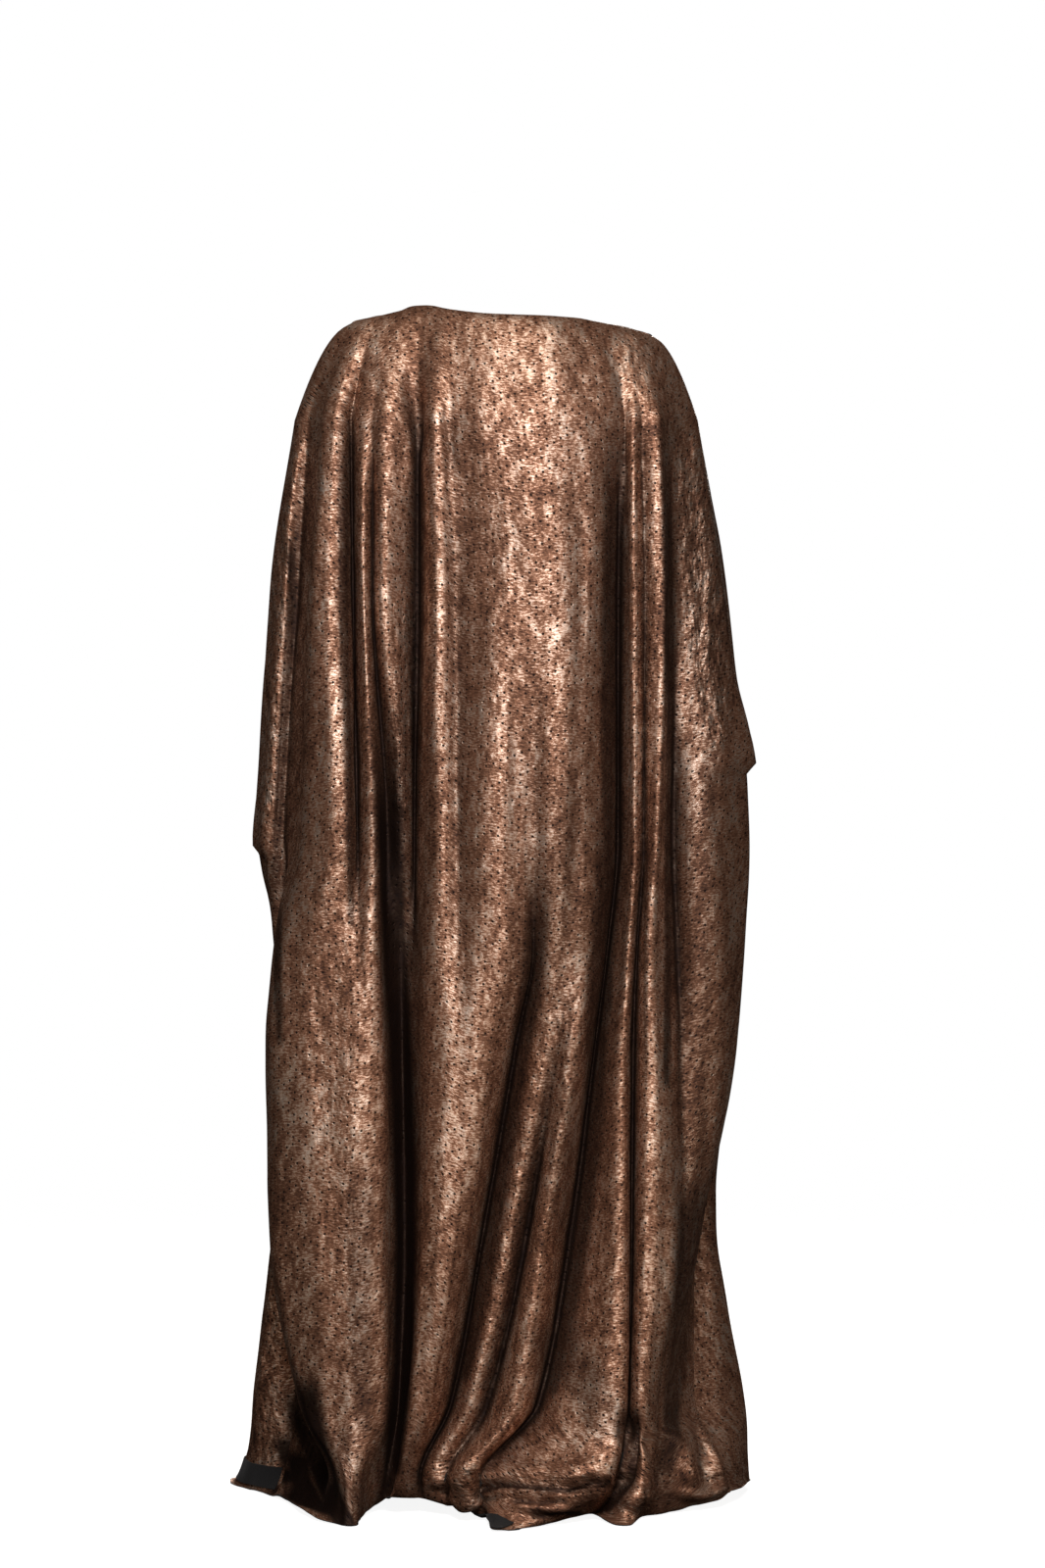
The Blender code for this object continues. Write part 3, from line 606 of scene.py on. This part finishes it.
def cloth_lengths(grid, middle):
    """Where each point is on the flat cut: across from the middle column and down from the top, in m."""
    steps = np.linalg.norm(np.diff(grid, axis=1), axis=2)
    across = np.concatenate([np.zeros((len(grid), 1)), np.cumsum(steps, axis=1)], axis=1)
    across -= across[:, middle][:, None]
    drops = np.linalg.norm(np.diff(grid, axis=0), axis=2)
    down = np.concatenate([np.zeros((1, grid.shape[1])), np.cumsum(drops, axis=0)], axis=0)
    return np.stack([across, -down], axis=-1)


def evened(grid, spread):
    """The rows without folds narrower than the spread, in millimetres."""
    middle = np.zeros_like(grid)
    for r, row in enumerate(grid):
        steps = np.linalg.norm(np.diff(row, axis=0), axis=1)
        place = np.concatenate([[0.0], np.cumsum(steps)])
        share = np.exp(-((place[:, None] - place[None, :]) / (spread * MM)) ** 2)
        share *= np.gradient(place)[None, :]
        middle[r] = (share @ row) / share.sum(axis=1)[:, None]
    return middle


def column_of(folds, steps, name):
    """The column of points that runs down a fold."""
    return sum(steps[:[fold[0] for fold in folds].index(name)])


def start_folds(grid, folds, steps, starts, still):
    """Folds start below the shoulders: above that only faint waves of them show in the cloth."""
    height = grid[..., 2] / MM + SHOULDER_HEIGHT
    column = np.arange(grid.shape[1])
    for first, last, spread, top, full in starts:
        a, b = column_of(folds, steps, first), column_of(folds, steps, last)
        inside = ease((column - a) / FADE_COLUMNS + 1.0) * ease((b - column) / FADE_COLUMNS + 1.0)
        share = (1.0 - ease((top - height) / (top - full))) * (1.0 - FAINT) * inside[None, :] * still
        grid = grid + (evened(grid, spread) - grid) * share[..., None]
    return grid


def form_facing(grid):
    """The way the garment's whole form faces at each point, its folds left out."""
    level = evened(grid, FORM_SPREAD)
    return outward(level, level[:, 0], level[:, -1])


def fold_depth(grid):
    """How far each point lies down in a fold, from 0 on the crests to 1 deep between two folds, which sets
    the painted shade there.
    """
    level = evened(grid, TUCK_SPREADS[0][0])
    lean = outward(level, level[:, 0], level[:, -1])
    under = 0.0
    for spread, weight in TUCK_SPREADS:
        below = ((evened(grid, spread) - grid) * lean).sum(axis=2) / MM
        below[:, :TUCK_EDGE] = below[:, TUCK_EDGE:TUCK_EDGE + 1]
        below[:, -TUCK_EDGE:] = below[:, -TUCK_EDGE - 1:-TUCK_EDGE]
        under = np.maximum(under, below * weight)
    height = grid[..., 2] / MM + SHOULDER_HEIGHT
    return grown(under, TUCK_DEPTHS) * grown(height, TUCK_HEIGHTS)


def panel_steps(folds, spacing):
    """Columns of cloth between neighbouring folds, from the distance between them."""
    steps = []
    for left, right in zip(folds, folds[1:]):
        wide = max(math.hypot(right[2][k] - left[2][k], right[3][k] - left[3][k])
                   for k in range(len(STATIONS)))
        steps.append(max(FEWEST_COLUMNS, round(wide / spacing)))
    return steps


def still_edges(grid, still):
    """Share of a change at each point: none at the top edge and at the side seams."""
    rows, columns = grid.shape[:2]
    down = ease(np.arange(rows) / still[0])
    side = np.minimum(np.arange(columns), columns - 1 - np.arange(columns))
    return down[:, None] * ease(side / still[1])[None, :]


def crease_share(facing, toward):
    """How much of the creases shows: all on cloth that faces them, and on cloth that lies flat."""
    turned = np.clip(facing[..., 1] * toward * CREASE_TURN, 0.0, 1.0)
    return np.maximum(turned, np.clip(facing[..., 2], 0.0, 1.0))


def folded_panel(folds, steps, starts, front):
    """A panel's outer face with its folds alone."""
    grid = cloth_rows(folds, steps, front)
    return start_folds(grid, folds, steps, starts, still_edges(grid, START_STILL))


def facings(back, front):
    """Outward directions of the back and of the front."""
    return outward(back, front[:, -2], front[:, 1]), outward(front, back[:, -2], back[:, 1])


def creased(grid, facing, toward, seen, creases, layers):
    """The panel with its creases and unevenness too, clear of the floor."""
    rise = crease_heights(seen, creases) * crease_share(facing, toward)
    rise = (rise + ripple(grid, layers)) * still_edges(grid, CREASE_STILL)
    grid = grid + facing * rise[..., None] * MM
    grid[..., 2] = np.maximum(grid[..., 2], (FLOOR_CLEAR - SHOULDER_HEIGHT) * MM)
    return grid


def hollow_share(form):
    """The painted shade of the deep places shows where the form faces back or up, and fades out round the
    sides.
    """
    least, growth = FORM_SHARES
    return np.clip(least - growth * form[..., 1] + growth * np.maximum(form[..., 2], 0.0), 0.0, 1.0)


# Meshes

def new_object(name, data):
    """A new object in the scene."""
    thing = bpy.data.objects.new(name, data)
    bpy.context.scene.collection.objects.link(thing)
    return thing


def shell(name, grid, facing, cut, finishes, shades=None):
    """Thin closed piece of cloth inside a grid of points: the first finish outside, the last inside.
    The shades are layers of point values for the finish."""
    rows, columns = grid.shape[:2]
    inner = grid - facing * (KNIT * MM)
    points = np.concatenate([grid.reshape(-1, 3), inner.reshape(-1, 3)])
    index = np.arange(rows * columns).reshape(rows, columns)
    under = index + rows * columns

    def quads(a, b, c, d):
        return np.stack([a.ravel(), b.ravel(), c.ravel(), d.ravel()], axis=1)

    outside = quads(index[:-1, :-1], index[1:, :-1], index[1:, 1:], index[:-1, 1:])
    inside = quads(under[:-1, :-1], under[:-1, 1:], under[1:, 1:], under[1:, :-1])
    rims = np.concatenate([
        quads(index[0, :-1], index[0, 1:], under[0, 1:], under[0, :-1]),
        quads(index[-1, 1:], index[-1, :-1], under[-1, :-1], under[-1, 1:]),
        quads(index[1:, 0], index[:-1, 0], under[:-1, 0], under[1:, 0]),
        quads(index[:-1, -1], index[1:, -1], under[1:, -1], under[:-1, -1])])
    faces = np.concatenate([outside, inside, rims])
    mesh = bpy.data.meshes.new(name)
    mesh.from_pydata(points.tolist(), [], faces.tolist())
    for finish in finishes:
        mesh.materials.append(finish)
    back = np.zeros(len(faces), dtype=np.int32)
    back[len(outside):] = len(finishes) - 1
    mesh.polygons.foreach_set("material_index", back)
    mesh.polygons.foreach_set("use_smooth", np.ones(len(faces), dtype=bool))
    layer = mesh.uv_layers.new(name="cut")
    spread = np.concatenate([cut.reshape(-1, 2), cut.reshape(-1, 2)])
    layer.data.foreach_set("uv", spread[faces.ravel()].ravel())
    for shade, values in (shades or {}).items():
        layer = mesh.attributes.new(shade, "FLOAT", "POINT")
        layer.data.foreach_set("value", np.concatenate([values.ravel(), values.ravel()]))
    rim_edges = set()
    for face in faces[len(outside) + len(inside):]:
        for a, b in zip(face, np.roll(face, -1)):
            rim_edges.add((min(a, b), max(a, b)))
    mesh.update()
    piece = new_object(name, mesh)
    for edge in mesh.edges:
        if tuple(sorted(edge.vertices)) in rim_edges:
            edge.use_edge_sharp = True
    return piece


def hem_piece(turn, folds, steps, grid, facing, cut, finish):
    """Piece of hem turned out, on the rows of its panel between two of its folds."""
    name, first, last, short, start, end = turn
    names = [fold[0] for fold in folds]
    a, b = names.index(first), names.index(last)
    begin = sum(steps[:a]) + round(short * steps[a])
    stop = sum(steps[:b]) - round(short * steps[b - 1])
    skirt = len(grid) - 1 - FLOOR_ROWS
    rows = slice(skirt + round(start * FLOOR_ROWS), skirt + round(end * FLOOR_ROWS) + 1)
    columns = slice(begin, stop + 1)
    lifted = grid[rows, columns] + facing[rows, columns] * (TURN_LIFT + KNIT) * MM
    return shell(name + "_cloth", lifted, facing[rows, columns], cut[rows, columns], (finish,))


# Materials

def linear(colour):
    """sRGB hex to Blender's linear colour."""
    parts = [int(colour[i:i + 2], 16) / 255.0 for i in (1, 3, 5)]
    return tuple(p / 12.92 if p <= 0.04045 else ((p + 0.055) / 1.055) ** 2.4 for p in parts) + (1.0,)


def add(tree, kind, inputs=None, **settings):
    """Add a shader node with its settings. An input is a value, or a socket that is linked to it, or
    a node whose first output is."""
    node = tree.nodes.new("ShaderNode" + kind)
    for setting, value in settings.items():
        setattr(node, setting, value)
    for socket, value in (inputs or {}).items():
        if isinstance(value, bpy.types.Node):
            value = value.outputs[0]
        if isinstance(value, bpy.types.NodeSocket):
            tree.links.new(value, node.inputs[socket])
        else:
            node.inputs[socket].default_value = value
    return node


def new_finish(name):
    finish = bpy.data.materials.new(name)
    finish.use_nodes = True
    finish.node_tree.nodes.clear()
    return finish


# The pinholes punched through the foil, in millimetres on the flat cut
DOT_STEP = 25.2               # repeat across
DOT_RISE = 13.2               # how far each repeat steps down
DOT_DROP = 26.4               # repeat down
DOTS = ((0.0, 0.0), (8.3, 4.4), (16.6, 8.7), (16.6, 17.2), (8.3, 21.2))
DOT_SIZE = 1.4                # radius, drawn a little large so that it shows
DOT_EDGE = (0.6, 1.3)         # shares of the radius where its soft edge starts and ends

# How much the drifts, the patches and the flecks count in the film, and what brings its mean to 0.5
FILM_SHARES = (0.16, 0.30, 0.44, 0.048)
WHOLE_FILM = (0.43, 0.59)     # from here to here it goes from rubbed off to whole
# Its colours over about that range
FILM = ((0.41, "#4A2F23"), (0.465, "#7B553F"), (0.503, "#936850"), (0.528, "#BF997F"), (0.60, "#EAD4C1"))

# Small crumples by point layer: width and height in metres
CRUMPLES = (("crumple", 0.012, 0.022), ("heap", 0.030, 0.011))


def foil_knit(name):
    """Polyester jersey with a bronze transfer foil pressed on, crushed and partly rubbed off: broad
    metal sheen on a dark brown ground, with small dark pinholes in a regular repeat."""
    finish = new_finish(name)
    tree = finish.node_tree
    cut = add(tree, "UVMap", uv_map="cut")
    flat = add(tree, "Mapping", {"Vector": cut, "Scale": (1000.0, 1000.0, 1.0)})

    # where the foil is whole and where it is rubbed away: slow drifts of 60 by 150 mm, then patches
    # of 14 by 24 mm
    slow = add(tree, "Mapping", {"Vector": flat, "Scale": (1 / 60.0, 1 / 150.0, 1.0)})
    drifts = add(tree, "TexNoise", {"Vector": slow, "Scale": 1.0, "Detail": 2.0})
    tall = add(tree, "Mapping", {"Vector": flat, "Scale": (1 / 14.0, 1 / 24.0, 1.0)})
    patches = add(tree, "TexNoise", {"Vector": tall, "Scale": 1.0, "Detail": 4.0, "Roughness": 0.62})
    # crushed grain: flecks of 5.5 by 2 mm across the cloth, coarser than the real 1 mm rows of loops
    # so that they show
    fleck = add(tree, "Mapping", {"Vector": flat, "Scale": (1 / 5.5, 1 / 2.0, 1.0)})
    flecks = add(tree, "TexNoise", {"Vector": fleck, "Scale": 1.0, "Detail": 3.0, "Roughness": 0.7})
    drift_share, patch_share, fleck_share, level = FILM_SHARES
    wear = add(tree, "Math", {0: drifts, 1: drift_share, 2: level}, operation="MULTIPLY_ADD")
    worn = add(tree, "Math", {0: patches, 1: patch_share, 2: wear}, operation="MULTIPLY_ADD")
    film = add(tree, "Math", {0: flecks, 1: fleck_share, 2: worn}, operation="MULTIPLY_ADD")
    whole = add(tree, "MapRange", {"Value": film, "From Min": WHOLE_FILM[0],
                                   "From Max": WHOLE_FILM[1]}, interpolation_type="SMOOTHSTEP")

    # pinholes: how far each spot is from the nearest one
    spread = add(tree, "SeparateXYZ", {"Vector": flat})
    nearest = None
    for across, down in DOTS:
        x = add(tree, "Math", {0: spread.outputs["X"], 1: across}, operation="SUBTRACT")
        count = add(tree, "Math", {0: x, 1: DOT_STEP}, operation="DIVIDE")
        repeat = add(tree, "Math", {0: count}, operation="ROUND")
        side = add(tree, "Math", {0: repeat, 1: -DOT_STEP, 2: x}, operation="MULTIPLY_ADD")
        y = add(tree, "Math", {0: spread.outputs["Y"], 1: down}, operation="ADD")
        lower = add(tree, "Math", {0: repeat, 1: DOT_RISE, 2: y}, operation="MULTIPLY_ADD")
        turns = add(tree, "Math", {0: lower, 1: DOT_DROP}, operation="DIVIDE")
        even = add(tree, "Math", {0: turns}, operation="ROUND")
        rest = add(tree, "Math", {0: even, 1: -DOT_DROP, 2: lower}, operation="MULTIPLY_ADD")
        spot = add(tree, "CombineXYZ", {"X": side, "Y": rest})
        apart = add(tree, "VectorMath", {0: spot}, operation="LENGTH")
        if nearest is None:
            nearest = apart.outputs["Value"]
        else:
            nearest = add(tree, "Math", {0: nearest, 1: apart.outputs["Value"]}, operation="MINIMUM")
    dot = add(tree, "MapRange", {"Value": nearest, "From Min": DOT_SIZE * DOT_EDGE[0],
                                 "From Max": DOT_SIZE * DOT_EDGE[1]})

    shade = add(tree, "ValToRGB", {"Fac": film})
    ramp = shade.color_ramp
    for place, colour in FILM[1:-1]:
        ramp.elements.new(place).color = linear(colour)
    for stop, (place, colour) in ((0, FILM[0]), (-1, FILM[-1])):
        ramp.elements[stop].position, ramp.elements[stop].color = place, linear(colour)
    # painted shade: down in the folds and in the listed hollows the film's colour is darkened to a dull
    # brown
    painted_shade = add(tree, "Attribute", attribute_name="painted_shade")
    shade_amount = add(tree, "Math", {0: painted_shade.outputs["Fac"], 1: 0.96}, operation="MULTIPLY")
    folded = add(tree, "Mix", {"Factor": shade_amount, "A": shade, "B": linear("#160A06")}, data_type="RGBA")
    pricked = add(tree, "Mix", {"Factor": dot, "A": linear("#1C110D"),
                                "B": folded.outputs["Result"]}, data_type="RGBA")
    # the whole film is smoother and all metal, the rubbed ground duller
    rough = add(tree, "MapRange", {"Value": whole, "To Min": 0.64, "To Max": 0.50})
    metal = add(tree, "MapRange", {"Value": whole, "To Min": 0.75, "To Max": 1.0})

    # small crumples, raised by up to 12 mm: tall ones where the cloth is pulled, and ones that lie
    # across where it is in a heap
    place = add(tree, "TexCoord")
    heights = []
    for layer, wide, high in CRUMPLES:
        much = add(tree, "Attribute", attribute_name=layer)
        sized = add(tree, "Mapping", {"Vector": place.outputs["Object"],
                                      "Scale": (1 / wide, 1 / wide, 1 / high)})
        bumps = add(tree, "TexNoise", {"Vector": sized, "Scale": 1.0, "Detail": 2.0})
        heights.append(add(tree, "Math", {0: bumps, 1: much.outputs["Fac"]}, operation="MULTIPLY"))
    lumps = add(tree, "Math", {0: heights[0], 1: heights[1]}, operation="ADD")
    crumples = add(tree, "Bump", {"Height": lumps, "Strength": 0.55, "Distance": 0.012})
    # the film stands proud of the rubbed ground and the pinholes, more than the real one so that
    # it shows
    crush = add(tree, "Math", {0: film, 1: dot}, operation="MULTIPLY")
    relief = add(tree, "Bump", {"Height": crush, "Strength": 0.7, "Distance": 0.0012,
                                "Normal": crumples})
    shader = add(tree, "BsdfPrincipled", {"Base Color": pricked.outputs["Result"], "Roughness": rough,
                                          "Metallic": metal, "Normal": relief})
    add(tree, "OutputMaterial", {"Surface": shader})
    return finish


def knit_reverse(name):
    """The jersey's own black reverse, brushed: matt, with a faint soft sheen and fine rows of loops."""
    finish = new_finish(name)
    tree = finish.node_tree
    cut = add(tree, "UVMap", uv_map="cut")
    # loops of about 2.5 by 1.4 mm, coarser than the real 1 mm ones so that they show
    rows = add(tree, "Mapping", {"Vector": cut, "Scale": (400.0, 700.0, 1.0)})
    loops = add(tree, "TexNoise", {"Vector": rows, "Scale": 1.0, "Detail": 3.0})
    shade = add(tree, "Mix", {"Factor": loops, "A": linear("#050505"),
                              "B": linear("#0E0D0D")}, data_type="RGBA")
    relief = add(tree, "Bump", {"Height": loops, "Strength": 0.4, "Distance": 0.001})
    shader = add(tree, "BsdfPrincipled", {
        "Base Color": shade.outputs["Result"], "Roughness": 0.92, "Sheen Weight": 0.05,
        "Sheen Roughness": 0.5, "Normal": relief})
    add(tree, "OutputMaterial", {"Surface": shader})
    return finish


# The panels

back_steps = panel_steps(BACK, BACK_COLUMN)
front_steps = panel_steps(FRONT, FRONT_COLUMN)
back_folded = folded_panel(BACK, back_steps, BACK_STARTS, front=False)
front_folded = folded_panel(FRONT, front_steps, FRONT_STARTS, front=True)
back_facing, front_facing = facings(back_folded, front_folded)
back_seen = seen_from(back_folded, EYE)
back_grid = creased(back_folded, back_facing, -1.0, back_seen, BACK_CREASES, BACK_RIPPLE)
front_grid = creased(front_folded, front_facing, 1.0, seen_from(front_folded, FRONT_EYE),
                     FRONT_CREASES, FRONT_RIPPLE)
back_facing, front_facing = facings(back_grid, front_grid)

bronze = foil_knit("foil_knit")
black = knit_reverse("knit_reverse")
front_seen = seen_from(front_grid, EYE)
from_behind = (front_grid[..., 0] < 0) & (front_facing[..., 1] < SIDE_TURN)
back_painted_shade = spread_along(back_seen, BACK_PAINTED_SHADE) * hollow_share(form_facing(back_grid))
front_painted_shade = spread_along(front_seen, FRONT_PAINTED_SHADE) * from_behind
front_crumples = spread_along(front_seen, FRONT_CRUMPLES) * from_behind
heap_top, heap_full, heap_most = FRONT_HEAP
front_heap = np.clip((heap_top - front_seen[..., 1]) / (heap_top - heap_full), 0.0, heap_most)
# painted shade in the folds and hollows, and how crumpled and heaped the cloth is
back_shades = {"painted_shade": np.maximum(fold_depth(back_grid), back_painted_shade),
               "crumple": np.maximum(spread_along(back_seen, BACK_CRUMPLES), EVEN_CRUMPLE),
               "heap": spread_along(back_seen, BACK_HEAPS)}
front_shades = {"painted_shade": np.maximum(fold_depth(front_grid), front_painted_shade),
                "crumple": np.maximum(front_crumples, EVEN_CRUMPLE), "heap": front_heap}
back_cut = cloth_lengths(back_grid, column_of(BACK, back_steps, "back"))
front_cut = cloth_lengths(front_grid, column_of(FRONT, front_steps, "front valley"))
both_sides = (bronze, black)
back_cloth = shell("back_cloth", back_grid, back_facing, back_cut, both_sides, back_shades)
front_cloth = shell("front_cloth", front_grid, front_facing, front_cut, both_sides, front_shades)
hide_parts("back_panel")
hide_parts("front_panel")

left_turn = hem_piece(LEFT_TURN, FRONT, front_steps, front_grid, front_facing, front_cut, black)
back_turn = hem_piece(BACK_TURN, BACK, back_steps, back_grid, back_facing, back_cut, black)
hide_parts("left_hem_turn")
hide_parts("back_hem_turn")
for piece in (back_cloth, front_cloth, left_turn, back_turn):
    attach(piece, "root")


# Floor, light and camera

FLOOR_RADIUS = 3.2
FLOOR_FADE = (0.9, 3.0)       # from here to here the floor fades into the white room
ROOM_LIGHT = 0.012            # the room's own light on the cloth; to the camera it is white
FOCUS = 4681.0                # focal length in pixels of the photograph, which is 1600 tall
LOOK_DOWN = 1.41              # degrees

# Soft boxes: name, place, the point it is turned to, width, height, watts and colour
LIGHTS = (
    ("key_light", (0.1, -2.7, 0.75), (0.0, 0.0, -0.45), 1.0, 0.8, 73.0, "#FBFAFF"),
    ("fill_light", (-0.3, -4.5, -0.3), (0.0, 0.0, -0.8), 1.6, 1.2, 17.0, "#FFE4D0"),
    ("top_light", (0.0, -1.0, 1.5), (0.0, -0.1, -1.4), 1.2, 0.8, 14.0, "#FFF4EA"),
    ("hem_light", (0.12, -0.75, -0.9), (0.05, -0.2, -1.42), 0.5, 0.2, 1.1, "#FFF8F0"),
    ("front_light", (0.4, 3.2, 0.6), (0.0, 0.0, -0.6), 1.4, 1.0, 70.0, "#FFF8F0"),
    ("left_hem_light", (-0.85, -0.45, -1.15), (-0.3, 0.06, -1.3), 0.2, 0.4, 0.45, "#FFF2E6"),
    ("right_hem_light", (0.75, -0.7, -1.15), (0.22, -0.05, -1.36), 0.2, 0.3, 1.0, "#FFF2E6"),
)

ground = bpy.data.meshes.new("floor")
disc = bmesh.new()
bmesh.ops.create_circle(disc, cap_ends=True, segments=96, radius=FLOOR_RADIUS)
disc.to_mesh(ground)
disc.free()
floor_piece = new_object("floor", ground)
floor_piece.location = (0.0, 0.0, -SHOULDER_HEIGHT * MM)
plaster = new_finish("pale_floor")
tree = plaster.node_tree
spot = add(tree, "TexCoord")
away = add(tree, "VectorMath", {0: spot.outputs["Object"]}, operation="LENGTH")
edge = add(tree, "MapRange", {"Value": away.outputs["Value"], "From Min": FLOOR_FADE[0],
                              "From Max": FLOOR_FADE[1], "To Min": 1.0, "To Max": 0.0},
           interpolation_type="SMOOTHSTEP")
paint = add(tree, "BsdfPrincipled", {"Base Color": linear("#C8C7C5"), "Roughness": 0.8,
                                     "Emission Color": (1, 1, 1, 1), "Emission Strength": 0.9,
                                     "Alpha": edge})
add(tree, "OutputMaterial", {"Surface": paint})
ground.materials.append(plaster)
# its own white light stays off the cloth
floor_piece.visible_diffuse = False
floor_piece.visible_glossy = False

world = bpy.data.worlds.new("studio")
bpy.context.scene.world = world
world.use_nodes = True
tree = world.node_tree
tree.nodes.clear()
path = add(tree, "LightPath")
strength = add(tree, "MapRange", {"Value": path.outputs["Is Camera Ray"],
                                  "To Min": ROOM_LIGHT, "To Max": 1.0})
air = add(tree, "Background", {"Color": (1, 1, 1, 1), "Strength": strength})
add(tree, "OutputWorld", {"Surface": air})

for name, place, aim, wide, tall, power, colour in LIGHTS:
    lamp = bpy.data.lights.new(name, "AREA")
    lamp.shape = "RECTANGLE"
    lamp.size = wide
    lamp.size_y = tall
    lamp.energy = power
    lamp.color = linear(colour)[:3]
    box = new_object(name, lamp)
    box.location = place
    box.rotation_euler = (Vector(aim) - Vector(place)).to_track_quat("-Z", "Y").to_euler()

lens = bpy.data.cameras.new("camera")
lens.sensor_fit = "AUTO"
lens.sensor_width = 36.0
lens.lens = lens.sensor_width * FOCUS / 1600.0
camera = new_object("camera", lens)
camera.location = (0.027, -5.5, -0.42)
camera.rotation_euler = (math.radians(90.0 - LOOK_DOWN), 0.0, 0.0)
bpy.context.scene.camera = camera
bpy.context.scene.view_settings.view_transform = "Standard"
